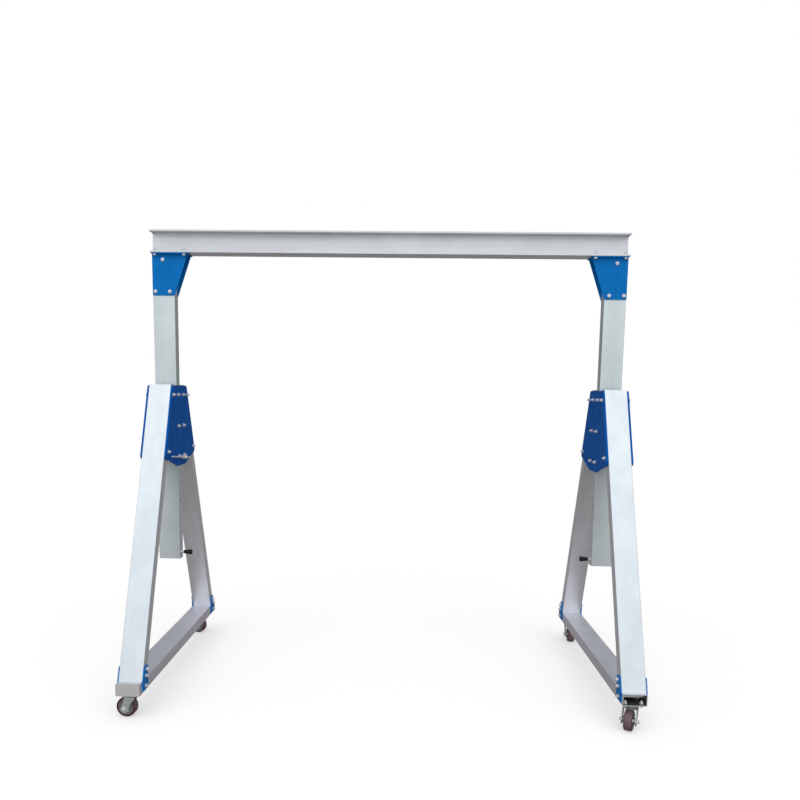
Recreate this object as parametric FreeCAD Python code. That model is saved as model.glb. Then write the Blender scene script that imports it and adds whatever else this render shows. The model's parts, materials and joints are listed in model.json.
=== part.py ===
import FreeCAD, Part
import math
import os

# Portable aluminium gantry crane with a height-adjustable beam on two A-frames.
# X runs along the beam, Y is the depth of the A-frames and Z points up from the floor.
# The origin is on the floor, under the middle of the crane. All sizes are in millimetres.
# Each side is drawn on the +X side, and the left side is its mirror image.

# ---- driving dimensions ----
beam_length = 3000.0
overall_height = 2877.0
beam_depth = 140.0
flange_width = 130.0
flange_thickness = 12.0
web_thickness = 8.0
web_root_radius = 10.0
web_root_height = 8.0       # how far the root reaches above the flange
beam_edge = 2.0

tube_width = 138.0          # the broad side of the tube used for masts, legs and bases
tube_depth = 68.0
tube_wall = 5.0
tube_corner = 3.0
tube_inner_corner = 0.5
frame_inset = 5.0           # from the end of the beam to the outer face of the tubes

base_length = 1660.0
base_cap_thickness = 24.0
base_plug_depth = 12.0
base_plug_fit = 0.3
foot_setback = 45.0         # from the end of the base to the outer face of the leg
leg_height = 1691.0         # above the base
leg_top_half_spread = 146.0

lock_pin_rise = 52.0            # above the point of the side plates
pin_hole_radius = 8.5
pin_hole_pitch = 285.0
pin_holes = 3
first_pin_hole_height = 105.0   # above the foot of the mast
stop_pin_height = 40.0          # above the foot of the mast

gusset_height = 262.0
gusset_top_width = 228.0
gusset_thickness = 6.0
gusset_flange = 30.0
gusset_bolt_inset = 18.0
gusset_bolt_rise = 24.0
gusset_inner_bolt_shift = 10.0
gusset_top_bolt_drop = 41.0
gusset_corner = 6.0
flange_bolt_inset = 21.0

side_plate_thickness = 6.0
side_plate_pad = 5.0            # also the side clearance of the mast
side_plate_top_drop = 6.0      # below the top of the legs
side_plate_shoulder_height = 445.0
side_plate_point_height = 72.0
side_plate_point_half_width = 80.0
side_plate_corner = 18.0
leg_bolt_top_drop = 64.0
leg_bolt_top_half_spread = 147.0
leg_bolt_low_rise = 35.0        # above the shoulder of the plate
guide_bolt_half_spread = 54.0
guide_clearance = 0.5
guide_row_drops = (64.0, 264.0, 460.0)

foot_plate_thickness = 6.0
foot_plate_rise = 76.0
foot_plate_drop = 58.0
foot_plate_rear_margin = 12.0
foot_plate_low_corner = 4.0
foot_plate_corner = 8.0
foot_bolt_rises = (56.0, 22.0)  # above the base

bolt_radius = 6.0
bolt_hole_radius = 6.5
hex_across_flats = 19.0
head_height = 8.0
nut_height = 10.0
thread_end = 6.0
washer_radius = 12.0
washer_thickness = 2.5
cut_overrun = 1.0               # how far a drill passes the faces that it cuts

caster_inset = 90.0             # from the end of the base to the swivel axis
caster_plate_x = 115.0
caster_plate_y = 100.0
caster_plate_thickness = 5.0
caster_plate_corner = 8.0
caster_bolt_half_x = 46.0
caster_bolt_half_y = 38.0
wheel_radius = 58.5
wheel_width = 48.0
tyre_shoulder = 8.0
tread_thickness = 13.5
hub_rim = 5.0
hub_rim_inset = 3.0
hub_web_inset = 14.0
hub_boss_radius = 17.0
hub_length = 70.0
axle_radius = 6.0
running_clearance = 0.05
fork_side_gap = 1.0
fork_top_gap = 7.0
fork_sheet = 5.0
fork_eye_radius = 26.0
fork_crown_front = 24.0
fork_crown_rear = 38.0
swivel_radius = 34.0
swivel_height = 19.5
swivel_gap = 0.5
swivel_trail = 38.0
kingpin_radius = 6.0
# how far each caster has swivelled, in degrees: 0 trails towards -Y
caster_yaw = {"front_left": -95.0, "rear_left": -104.0, "front_right": -27.0, "rear_right": -4.0}

stop_pin_radius = 7.0
stop_pin_outer_length = 11.0
stop_pin_collar_radius = 12.0
stop_pin_collar = 5.0
grip_gap = 17.0
grip_length = 55.0
grip_root_radius = 12.5
grip_end_radius = 17.5
grip_rim = 3.0

lock_pin_radius = 8.0
lock_hub_radius = 12.0
lock_bar_radius = 4.5
lock_grip_radius = 6.5
lock_bar_front_reach = 276.0    # the bar has slid forwards through the head of the pin
lock_bar_rear_reach = 126.0
lock_grip_start = 20.0
lock_nut_gap = 1.0
lock_bar_tilt = 5.5             # degrees, the front end is the higher one

# ---- places worked out from the sizes above ----
hub_radius = wheel_radius - tread_thickness
crown_bottom = 2 * wheel_radius + fork_top_gap
crown_top = crown_bottom + fork_sheet
caster_height = crown_top + swivel_height + swivel_gap + caster_plate_thickness
base_bottom = caster_height
base_top = base_bottom + tube_depth
beam_bottom = overall_height - beam_depth
outer_x = beam_length / 2 - frame_inset
inner_x = outer_x - tube_width
centre_x = (outer_x + inner_x) / 2
drill_span = (inner_x - cut_overrun, outer_x + cut_overrun)
base_end_y = base_length / 2
foot_y = base_end_y - foot_setback
leg_top = base_top + leg_height
leg_slope = (foot_y - leg_top_half_spread) / leg_height
leg_angle = math.atan(leg_slope)
leg_thickness_y = tube_depth / math.cos(leg_angle)
gusset_bottom = beam_bottom - gusset_height
plate_top = leg_top - side_plate_top_drop
plate_shoulder = plate_top - side_plate_shoulder_height
plate_point = plate_shoulder - side_plate_point_height
lock_pin_height = plate_point + lock_pin_rise
mast_foot_height = lock_pin_height - pin_hole_pitch * (pin_holes - 1) - first_pin_hole_height
mast_length = beam_bottom - mast_foot_height
plate_inner_face = inner_x - side_plate_pad
plate_outer_face = outer_x + side_plate_pad
nut_stack = washer_thickness + nut_height + thread_end
caster_y = base_end_y - caster_inset
fork_half_inside = hub_length / 2 + fork_side_gap
fork_half_outside = fork_half_inside + fork_sheet


def vec(x, y, z):
    return FreeCAD.Vector(x, y, z)


def leg_face(z):
    """Distance from the middle plane to the outer face of a leg at height z."""
    return foot_y - (z - base_top) * leg_slope


def leg_centre(z):
    return leg_face(z) - leg_thickness_y / 2


def box(x0, x1, y0, y1, z0, z1):
    return Part.makeBox(x1 - x0, y1 - y0, z1 - z0, vec(x0, y0, z0))


def rod(radius, start, end):
    axis = end.sub(start)
    return Part.makeCylinder(radius, axis.Length, start, axis)


def rod_x(radius, x0, x1, y, z):
    return rod(radius, vec(x0, y, z), vec(x1, y, z))


def rounded_rectangle(size_a, size_b, corner, place, first, second):
    """A closed wire in the plane of the directions first and second, around place."""
    half_a = size_a / 2
    half_b = size_b / 2
    points = [(half_a, half_b), (-half_a, half_b), (-half_a, -half_b), (half_a, -half_b)]
    wire_points = [place + first * a + second * b for a, b in points]
    return rounded_polygon(wire_points, [corner] * 4)


def rounded_polygon(points, corners):
    """A closed wire through points, each with its own corner radius."""
    edges = []
    count = len(points)
    trimmed = []
    for i in range(count):
        here = points[i]
        before = (points[i - 1] - here).normalize()
        after = (points[(i + 1) % count] - here).normalize()
        half_angle = before.getAngle(after) / 2
        reach = corners[i] / math.tan(half_angle)
        middle_way = (before + after).normalize()
        middle = here + middle_way * (corners[i] / math.sin(half_angle) - corners[i])
        trimmed.append((here + before * reach, middle, here + after * reach))
    for i in range(count):
        start, middle, end = trimmed[i]
        if corners[i] > 0:
            edges.append(Part.Arc(start, middle, end).toShape())
        following = trimmed[(i + 1) % count][0]
        edges.append(Part.LineSegment(end, following).toShape())
    return Part.Wire(edges)


def extrude(wire, along, holes=()):
    face = Part.Face([wire] + list(holes))
    return face.extrude(along)


def tube(place, first, second, along, size_a, size_b, wall_a, wall_b):
    """A rectangular hollow section pushed along a vector."""
    outer = rounded_rectangle(size_a, size_b, tube_corner, place, first, second)
    inner = rounded_rectangle(size_a - 2 * wall_a, size_b - 2 * wall_b, tube_inner_corner,
                              place, first, second)
    return extrude(outer, along).cut(extrude(inner, along))


def hexagon(start, axis, height):
    """A hexagonal head or nut that begins at start and grows along axis."""
    corner_radius = hex_across_flats / math.sqrt(3)
    side = axis.cross(vec(0, 0, 1))
    if side.Length < 0.5:
        side = axis.cross(vec(1, 0, 0))
    side.normalize()
    other = axis.cross(side)
    points = []
    for i in range(7):
        turn = math.radians(60 * i)
        outward = side * math.cos(turn) + other * math.sin(turn)
        points.append(start + outward * corner_radius)
    return Part.Face(Part.makePolygon(points)).extrude(axis * height)


def bolt(head_face, nut_face, shoulder=None):
    """A bolt with washers; shoulder is a radius with the two distances where it starts and ends."""
    axis = nut_face - head_face
    length = axis.Length
    axis.normalize()
    outer_head = head_face - axis * washer_thickness
    outer_nut = nut_face + axis * washer_thickness
    pieces = [
        rod(washer_radius, outer_head, head_face),
        hexagon(outer_head - axis * head_height, axis, head_height),
        rod(washer_radius, nut_face, outer_nut),
        hexagon(outer_nut, axis, nut_height),
    ]
    if shoulder:
        radius, start, end = shoulder
        pieces.append(rod(radius, head_face + axis * start, head_face + axis * end))
    shank_end = nut_face + axis * nut_stack
    return rod(bolt_radius, outer_head, shank_end).fuse(pieces).removeSplitter()


def mirror_depth(shape):
    return shape.mirror(vec(0, 0, 0), vec(0, 1, 0))


def place_on_side(shape, side):
    if side == "left":
        return shape.mirror(vec(0, 0, 0), vec(1, 0, 0))
    return shape


def save(name, solids):
    shape = solids[0] if len(solids) == 1 else Part.makeCompound(solids)
    shape.exportStep("parts/" + name + ".step")


# ---- bolt places, shared by the holes and the bolts ----
def gusset_bolt_places():
    """X and Z of the three bolts through both gussets and the mast."""
    low = gusset_bottom + gusset_bolt_rise
    high = beam_bottom - gusset_top_bolt_drop
    return [
        (outer_x - gusset_bolt_inset, low),
        (inner_x + gusset_bolt_inset + gusset_inner_bolt_shift, low),
        (centre_x, high),
    ]


def flange_bolt_places():
    """X and Y of the bolts that hold the gussets under the beam."""
    y = tube_depth / 2 + gusset_thickness + (gusset_flange - gusset_thickness) / 2
    near = outer_x - flange_bolt_inset
    far = outer_x - gusset_top_width + flange_bolt_inset
    return [(x, side * y) for x in (near, far) for side in (-1, 1)]


def leg_bolt_places():
    """Y and Z of the bolts that clamp the legs between the side plates."""
    high = leg_top - leg_bolt_top_drop
    low = plate_shoulder + leg_bolt_low_rise
    rows = ((leg_bolt_top_half_spread, high), (leg_centre(low), low))
    return [(side * y, z) for y, z in rows for side in (-1, 1)]


def guide_bolt_places():
    """Y and Z of the bolts that guide the mast in front and behind."""
    return [
        (side * guide_bolt_half_spread, plate_top + side_plate_top_drop - drop)
        for drop in guide_row_drops for side in (-1, 1)
    ]


def foot_bolt_places():
    """Y and Z of the bolts through the foot plates, the leg and the base."""
    places = []
    for side in (-1, 1):
        for rise in foot_bolt_rises:
            places.append((side * leg_centre(base_top + rise), base_top + rise))
        places.append((side * (foot_y - leg_thickness_y / 2), (base_top + base_bottom) / 2))
    return places


def caster_bolt_places():
    return [
        (centre_x + a * caster_bolt_half_x, side * caster_y + b * caster_bolt_half_y)
        for side in (-1, 1) for a in (-1, 1) for b in (-1, 1)
    ]


def drill_x(shape, places, x0, x1, radius):
    for y, z in places:
        shape = shape.cut(rod_x(radius, x0, x1, y, z))
    return shape


# ---- pieces of the crane's head: the beam and what hangs from it ----
def beam_flange(z_low):
    """A flange of the beam, drilled for both gussets where it is the lower one."""
    half = flange_width / 2
    z_high = z_low + flange_thickness
    x0 = -beam_length / 2
    points = [vec(x0, -half, z_low), vec(x0, half, z_low), vec(x0, half, z_high), vec(x0, -half, z_high)]
    return extrude(rounded_polygon(points, [beam_edge] * 4), vec(beam_length, 0, 0))


def lower_flange():
    flange = beam_flange(beam_bottom)
    for x, y in flange_bolt_places():
        for side in (-1, 1):
            start = vec(side * x, y, beam_bottom - cut_overrun)
            end = vec(side * x, y, beam_bottom + flange_thickness + cut_overrun)
            flange = flange.cut(rod(bolt_hole_radius, start, end))
    return flange


def beam_web():
    """The web between the flanges, with a hollow-curved root on both sides of each edge."""
    half_web = web_thickness / 2
    half_depth = beam_depth / 2 - flange_thickness
    middle = (beam_bottom + overall_height) / 2
    x0 = -beam_length / 2
    angle = math.asin(web_root_height / web_root_radius)
    foot = half_web + web_root_radius * (1 - math.cos(angle))
    waist = half_web + web_root_radius * (1 - math.cos(angle / 2))
    waist_height = web_root_radius * math.sin(angle / 2)
    straight = half_depth - web_root_height
    edges = []
    for a in (-1, 1):
        side = (vec(x0, a * half_web, middle - straight), vec(x0, a * half_web, middle + straight))
        seat = (vec(x0, -foot, middle + a * half_depth), vec(x0, foot, middle + a * half_depth))
        edges += [Part.LineSegment(*side), Part.LineSegment(*seat)]
        for b in (-1, 1):
            start = vec(x0, a * half_web, middle + b * straight)
            through = vec(x0, a * waist, middle + b * (straight + waist_height))
            edges.append(Part.Arc(start, through, vec(x0, a * foot, middle + b * half_depth)))
    ordered = Part.__sortEdges__([edge.toShape() for edge in edges])
    return extrude(Part.Wire(ordered), vec(beam_length, 0, 0))


def gusset():
    """The front gusset: a tapered plate with its top edge bent out under the beam."""
    face_y = -tube_depth / 2
    tip_x = outer_x - gusset_top_width
    points = [
        (outer_x, beam_bottom), (tip_x, beam_bottom), (inner_x, gusset_bottom), (outer_x, gusset_bottom),
    ]
    wire = rounded_polygon([vec(x, face_y, z) for x, z in points], [0, 0, gusset_corner, gusset_corner])
    plate = extrude(wire, vec(0, -gusset_thickness, 0))
    lip = box(tip_x, outer_x, face_y - gusset_flange, face_y, beam_bottom - gusset_thickness, beam_bottom)
    shape = plate.fuse(lip).removeSplitter()
    for x, z in gusset_bolt_places():
        start = vec(x, face_y + cut_overrun, z)
        end = vec(x, face_y - gusset_thickness - cut_overrun, z)
        shape = shape.cut(rod(bolt_hole_radius, start, end))
    for x, y in flange_bolt_places():
        start = vec(x, y, beam_bottom - gusset_thickness - cut_overrun)
        end = vec(x, y, beam_bottom + cut_overrun)
        shape = shape.cut(rod(bolt_hole_radius, start, end))
    return shape


def gusset_bolts():
    face_y = tube_depth / 2 + gusset_thickness
    bolts = [bolt(vec(x, -face_y, z), vec(x, face_y, z)) for x, z in gusset_bolt_places()]
    for x, y in flange_bolt_places():
        head_face = vec(x, y, beam_bottom - gusset_thickness)
        bolts.append(bolt(head_face, vec(x, y, beam_bottom + flange_thickness)))
    return bolts


def mast():
    place = vec(centre_x, 0, mast_foot_height)
    shape = tube(place, vec(1, 0, 0), vec(0, 1, 0), vec(0, 0, mast_length),
                 tube_width, tube_depth, tube_wall, tube_wall)
    heights = [mast_foot_height + first_pin_hole_height + pin_hole_pitch * i for i in range(pin_holes)]
    shape = drill_x(shape, [(0, z) for z in heights], *drill_span, pin_hole_radius)
    stop_place = [(0, mast_foot_height + stop_pin_height)]
    shape = drill_x(shape, stop_place, *drill_span, stop_pin_radius + running_clearance)
    for x, z in gusset_bolt_places():
        shape = shape.cut(rod(bolt_hole_radius, vec(x, -tube_depth, z), vec(x, tube_depth, z)))
    return shape


def stop_pin():
    z = mast_foot_height + stop_pin_height
    grip_start = inner_x - grip_gap
    pin = rod_x(stop_pin_radius, grip_start - grip_length / 2, outer_x + stop_pin_outer_length, 0, z)
    collar = rod_x(stop_pin_collar_radius, inner_x - stop_pin_collar, inner_x, 0, z)
    return pin.fuse(collar).removeSplitter()


def stop_pin_grip():
    z = mast_foot_height + stop_pin_height
    start = vec(inner_x - grip_gap, 0, z)
    shape = Part.makeCone(grip_root_radius, grip_end_radius, grip_length, start, vec(-1, 0, 0))
    rim = [edge for edge in shape.Edges if edge.BoundBox.XLength < 0.1]
    shape = shape.makeFillet(grip_rim, rim)
    return shape.cut(rod_x(stop_pin_radius, start.x - grip_length / 2, start.x + cut_overrun, 0, z))


# ---- pieces of an A-frame ----
def side_plate_outline(x):
    rows = [
        (leg_face(plate_top), plate_top), (leg_face(plate_shoulder), plate_shoulder),
        (side_plate_point_half_width, plate_point),
    ]
    points = rows + [(-y, z) for y, z in reversed(rows)]
    return rounded_polygon([vec(x, y, z) for y, z in points], [side_plate_corner] * 6)


def leg_strip(x0, x1, side):
    """The slanting strip that a leg covers on its neighbours, from x0 to x1."""
    points = [
        (foot_y, base_top), (foot_y - leg_thickness_y, base_top),
        (leg_face(leg_top) - leg_thickness_y, leg_top), (leg_face(leg_top), leg_top),
    ]
    wire = Part.makePolygon([vec(x0, side * y, z) for y, z in points + points[:1]])
    return Part.Face(wire).extrude(vec(x1 - x0, 0, 0))


def side_plate(face_x, outward):
    """A plate on one side of the mast; its pads rest on the legs, which end at face_x."""
    inner_face = face_x + outward * side_plate_pad
    shape = extrude(side_plate_outline(inner_face), vec(outward * side_plate_thickness, 0, 0))
    pad_area = extrude(side_plate_outline(face_x), vec(outward * side_plate_pad, 0, 0))
    for side in (-1, 1):
        shape = shape.fuse(pad_area.common(leg_strip(face_x, inner_face, side)))
    shape = shape.removeSplitter()
    reach = side_plate_pad + side_plate_thickness + cut_overrun
    x0, x1 = sorted((face_x - outward * cut_overrun, face_x + outward * reach))
    shape = drill_x(shape, leg_bolt_places() + guide_bolt_places(), x0, x1, bolt_hole_radius)
    return drill_x(shape, [(0, lock_pin_height)], x0, x1, lock_pin_radius + running_clearance)


def leg(side):
    """A slanting tube, cut level at its foot and at its top."""
    place = vec(centre_x, side * (foot_y - leg_thickness_y / 2), base_top)
    along = vec(0, -side * leg_slope * leg_height, leg_height)
    shape = tube(place, vec(1, 0, 0), vec(0, 1, 0), along,
                 tube_width, leg_thickness_y, tube_wall, tube_wall / math.cos(leg_angle))
    return drill_x(shape, leg_bolt_places() + foot_bolt_places(), *drill_span, bolt_hole_radius)


def base_beam():
    tube_end = base_end_y - base_cap_thickness
    place = vec(centre_x, -tube_end, (base_bottom + base_top) / 2)
    shape = tube(place, vec(1, 0, 0), vec(0, 0, 1), vec(0, 2 * tube_end, 0),
                 tube_width, tube_depth, tube_wall, tube_wall)
    shape = drill_x(shape, foot_bolt_places(), *drill_span, bolt_hole_radius)
    for x, y in caster_bolt_places():
        start = vec(x, y, base_bottom - cut_overrun)
        end = vec(x, y, base_bottom + tube_wall + cut_overrun)
        shape = shape.cut(rod(bolt_hole_radius, start, end))
    return shape


def end_cap(side):
    """A cap that closes one end of the base, with a plug inside the tube."""
    place = vec(centre_x, side * (base_end_y - base_cap_thickness), (base_bottom + base_top) / 2)
    first = vec(1, 0, 0)
    second = vec(0, 0, 1)
    cover = rounded_rectangle(tube_width, tube_depth, tube_corner, place, first, second)
    shrink = 2 * (tube_wall + base_plug_fit)
    plug = rounded_rectangle(tube_width - shrink, tube_depth - shrink, tube_inner_corner,
                             place, first, second)
    cover_solid = extrude(cover, vec(0, side * base_cap_thickness, 0))
    plug_solid = extrude(plug, vec(0, -side * base_plug_depth, 0))
    return cover_solid.fuse(plug_solid).removeSplitter()


def foot_plate(x0, x1, side):
    rear = foot_y - leg_thickness_y - foot_plate_rear_margin
    high = base_top + foot_plate_rise
    low = base_top - foot_plate_drop
    points = [(foot_y, low), (foot_y, base_top), (leg_face(high), high), (rear, high), (rear, low)]
    corners = [foot_plate_low_corner, 0, foot_plate_corner, foot_plate_corner, foot_plate_low_corner]
    wire = rounded_polygon([vec(x0, side * y, z) for y, z in points], corners)
    shape = extrude(wire, vec(x1 - x0, 0, 0))
    return drill_x(shape, foot_bolt_places(), x0 - cut_overrun, x1 + cut_overrun, bolt_hole_radius)


def foot_plates():
    plates = []
    for side in (-1, 1):
        plates.append(foot_plate(inner_x - foot_plate_thickness, inner_x, side))
        plates.append(foot_plate(outer_x, outer_x + foot_plate_thickness, side))
    return plates


def frame_bolts():
    """Leg bolts, shouldered guide bolts, foot bolts and caster bolts of one A-frame."""
    inner_face = plate_inner_face - side_plate_thickness
    outer_face = plate_outer_face + side_plate_thickness
    bolts = [bolt(vec(outer_face, y, z), vec(inner_face, y, z)) for y, z in leg_bolt_places()]
    guide_radius = guide_bolt_half_spread - tube_depth / 2 - guide_clearance
    shoulder = (guide_radius, side_plate_thickness, outer_face - inner_face - side_plate_thickness)
    for y, z in guide_bolt_places():
        bolts.append(bolt(vec(outer_face, y, z), vec(inner_face, y, z), shoulder))
    for y, z in foot_bolt_places():
        head_face = vec(outer_x + foot_plate_thickness, y, z)
        bolts.append(bolt(head_face, vec(inner_x - foot_plate_thickness, y, z)))
    plate_face = base_bottom - caster_plate_thickness
    for x, y in caster_bolt_places():
        bolts.append(bolt(vec(x, y, plate_face), vec(x, y, base_bottom + tube_wall)))
    return bolts


def lock_pin():
    """The height pin, drawn back until its tip is out of the mast, with its cross bar and grip."""
    face = plate_inner_face - side_plate_thickness
    bar_x = face - nut_stack - lock_grip_radius - lock_nut_gap
    pin = rod_x(lock_pin_radius, bar_x, plate_inner_face, 0, lock_pin_height)
    hub = rod_x(lock_hub_radius, bar_x - lock_hub_radius, face, 0, lock_pin_height)
    end = vec(bar_x, lock_bar_rear_reach, lock_pin_height)
    bar = rod(lock_bar_radius, vec(bar_x, -lock_bar_front_reach, lock_pin_height), end)
    grip = rod(lock_grip_radius, vec(bar_x, lock_grip_start, lock_pin_height), end)
    handle = bar.fuse(grip)
    handle.rotate(vec(bar_x, 0, lock_pin_height), vec(1, 0, 0), -lock_bar_tilt)
    return pin.fuse([hub, handle]).removeSplitter()


# ---- pieces of a caster, drawn under the origin with the wheel trailing towards -Y ----
def caster_plate():
    top = caster_height
    shape = box(-caster_plate_x / 2, caster_plate_x / 2, -caster_plate_y / 2, caster_plate_y / 2,
                top - caster_plate_thickness, top)
    uprights = [edge for edge in shape.Edges if edge.BoundBox.ZLength > caster_plate_thickness / 2]
    shape = shape.makeFillet(caster_plate_corner, uprights)
    for a in (-1, 1):
        for b in (-1, 1):
            place = vec(a * caster_bolt_half_x, b * caster_bolt_half_y, 0)
            shape = shape.cut(Part.makeCylinder(bolt_hole_radius, top + cut_overrun, place))
    return shape.cut(Part.makeCylinder(kingpin_radius + 2 * running_clearance, top + cut_overrun))


def fork():
    crown = box(-fork_half_outside, fork_half_outside, -fork_crown_rear, fork_crown_front,
                crown_bottom, crown_top)
    eye = (-swivel_trail, wheel_radius)
    cheeks = []
    for x in (-fork_half_outside, fork_half_inside):
        points = [
            (fork_crown_front, crown_top), (-fork_crown_rear, crown_top),
            (eye[0] - fork_eye_radius, eye[1]), (eye[0] + fork_eye_radius, eye[1]),
        ]
        wire = Part.makePolygon([vec(x, y, z) for y, z in points + points[:1]])
        cheeks.append(Part.Face(wire).extrude(vec(fork_sheet, 0, 0)))
        cheeks.append(rod_x(fork_eye_radius, x, x + fork_sheet, eye[0], eye[1]))
    swivel = Part.makeCylinder(swivel_radius, swivel_height, vec(0, 0, crown_top))
    kingpin = Part.makeCylinder(kingpin_radius, caster_height - crown_top - swivel_gap, vec(0, 0, crown_top))
    shape = crown.fuse(cheeks + [swivel, kingpin]).removeSplitter()
    reach = fork_half_outside + cut_overrun
    return drill_x(shape, [eye], -reach, reach, axle_radius + running_clearance)


def axle():
    head_face = vec(-fork_half_outside, -swivel_trail, wheel_radius)
    return bolt(head_face, vec(fork_half_outside, -swivel_trail, wheel_radius))


def wheel_ring(profile):
    """Turn a profile of (distance from the axle, distance along the axle) about the axle."""
    points = [vec(along, -swivel_trail, wheel_radius + radius) for radius, along in profile]
    face = Part.Face(Part.makePolygon(points + points[:1]))
    return face.revolve(vec(0, -swivel_trail, wheel_radius), vec(1, 0, 0), 360)


def tyre():
    half = wheel_width / 2
    ring = rod_x(wheel_radius, -half, half, -swivel_trail, wheel_radius)
    rims = [edge for edge in ring.Edges if edge.BoundBox.XLength < 0.1]
    ring = ring.makeFillet(tyre_shoulder, rims)
    reach = half + cut_overrun
    return ring.cut(rod_x(hub_radius, -reach, reach, -swivel_trail, wheel_radius))


def hub():
    bore = axle_radius + running_clearance
    rim_half = wheel_width / 2 - hub_rim_inset
    web_half = wheel_width / 2 - hub_web_inset
    boss_half = hub_length / 2
    profile = [
        (bore, boss_half), (hub_boss_radius, boss_half), (hub_boss_radius, web_half),
        (hub_radius - hub_rim, web_half), (hub_radius - hub_rim, rim_half), (hub_radius, rim_half),
    ]
    return wheel_ring(profile + [(radius, -along) for radius, along in reversed(profile)])


def place_caster(shape, x, y, yaw):
    moved = shape.copy()
    moved.rotate(vec(0, 0, 0), vec(0, 0, 1), yaw)
    moved.translate(vec(x, y, 0))
    return moved


# ---- build every node ----
os.makedirs("parts", exist_ok=True)
save("i_beam", [lower_flange(), beam_web(), beam_flange(overall_height - flange_thickness)])

front_gusset = gusset()
one_side = {
    "gusset_plates": [front_gusset, mirror_depth(front_gusset)],
    "gusset_bolts": gusset_bolts(),
    "mast": [mast()],
    "stop_pin": [stop_pin()],
    "stop_pin_grip": [stop_pin_grip()],
    "inner_side_plate": [side_plate(inner_x, -1)],
    "outer_side_plate": [side_plate(outer_x, 1)],
    "front_leg": [leg(-1)],
    "rear_leg": [leg(1)],
    "base_beam": [base_beam()],
    "foot_plates": foot_plates(),
    "frame_bolts": frame_bolts(),
}
for side_name in ("left", "right"):
    for piece, shapes in one_side.items():
        save(side_name + "_" + piece, [place_on_side(shape, side_name) for shape in shapes])

save("left_lock_pin", [place_on_side(lock_pin(), "left")])
# the front end of the right base has no cap and shows the hollow tube
save("left_end_caps", [place_on_side(end_cap(side), "left") for side in (-1, 1)])
save("right_end_cap", [end_cap(1)])

plate_shape = caster_plate()
for side_name, x_sign in (("left", -1), ("right", 1)):
    plates = [place_caster(plate_shape, x_sign * centre_x, y_sign * caster_y, 0) for y_sign in (-1, 1)]
    save(side_name + "_caster_plates", plates)

caster_pieces = {"fork": fork(), "axle": axle(), "wheel_hub": hub(), "tyre": tyre()}
for corner, yaw in caster_yaw.items():
    x = centre_x if corner.endswith("right") else -centre_x
    y = -caster_y if corner.startswith("front") else caster_y
    for piece, shape in caster_pieces.items():
        save(corner + "_" + piece, [place_caster(shape, x, y, yaw)])
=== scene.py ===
"""Looks of a portable aluminium gantry crane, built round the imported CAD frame.

Everything is in metres in the frame of the CAD model: X along the beam, Y from front to rear, Z up.
"""
import json
import math
import random

import bmesh
import bpy
from mathutils import Matrix, Vector


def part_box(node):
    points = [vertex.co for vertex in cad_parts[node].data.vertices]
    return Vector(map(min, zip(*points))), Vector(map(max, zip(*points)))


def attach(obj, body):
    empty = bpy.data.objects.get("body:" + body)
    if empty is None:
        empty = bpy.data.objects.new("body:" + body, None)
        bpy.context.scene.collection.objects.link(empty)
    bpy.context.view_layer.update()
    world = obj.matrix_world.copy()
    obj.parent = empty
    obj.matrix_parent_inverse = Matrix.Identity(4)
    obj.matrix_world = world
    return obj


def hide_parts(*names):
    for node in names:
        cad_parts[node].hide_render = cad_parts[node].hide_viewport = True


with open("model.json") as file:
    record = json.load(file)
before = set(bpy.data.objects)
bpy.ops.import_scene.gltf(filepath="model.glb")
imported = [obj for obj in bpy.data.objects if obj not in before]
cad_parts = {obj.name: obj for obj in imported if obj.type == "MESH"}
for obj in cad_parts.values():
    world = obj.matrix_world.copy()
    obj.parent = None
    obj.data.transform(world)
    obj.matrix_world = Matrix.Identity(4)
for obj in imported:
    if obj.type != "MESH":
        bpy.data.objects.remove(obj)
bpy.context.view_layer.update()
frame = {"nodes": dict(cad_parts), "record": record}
nodes = frame["nodes"]
behaviour = frame["record"]["behaviour"]
joints = {joint["name"]: joint for joint in behaviour["joints"]}
node_body = {node: body for body, names in behaviour["bodies"].items() for node in names}
random.seed(7)

SIDES = ("left", "right")
CORNERS = ("front_left", "rear_left", "front_right", "rear_right")

# ---- sizes of the bought-in small parts, in metres ----
BOLT_RADIUS = 0.006
BOLT_PITCH = 0.00175
HEX_FLATS = 0.019
HEAD_HEIGHT = 0.008
NUT_HEIGHT = 0.010
NYLON_HEIGHT = 0.0028
WASHER_RADIUS = 0.012
WASHER_THICKNESS = 0.0025
THREAD_DEPTH = 0.0007
THREAD_END = 0.006
ROUND_STEPS = 36


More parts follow.
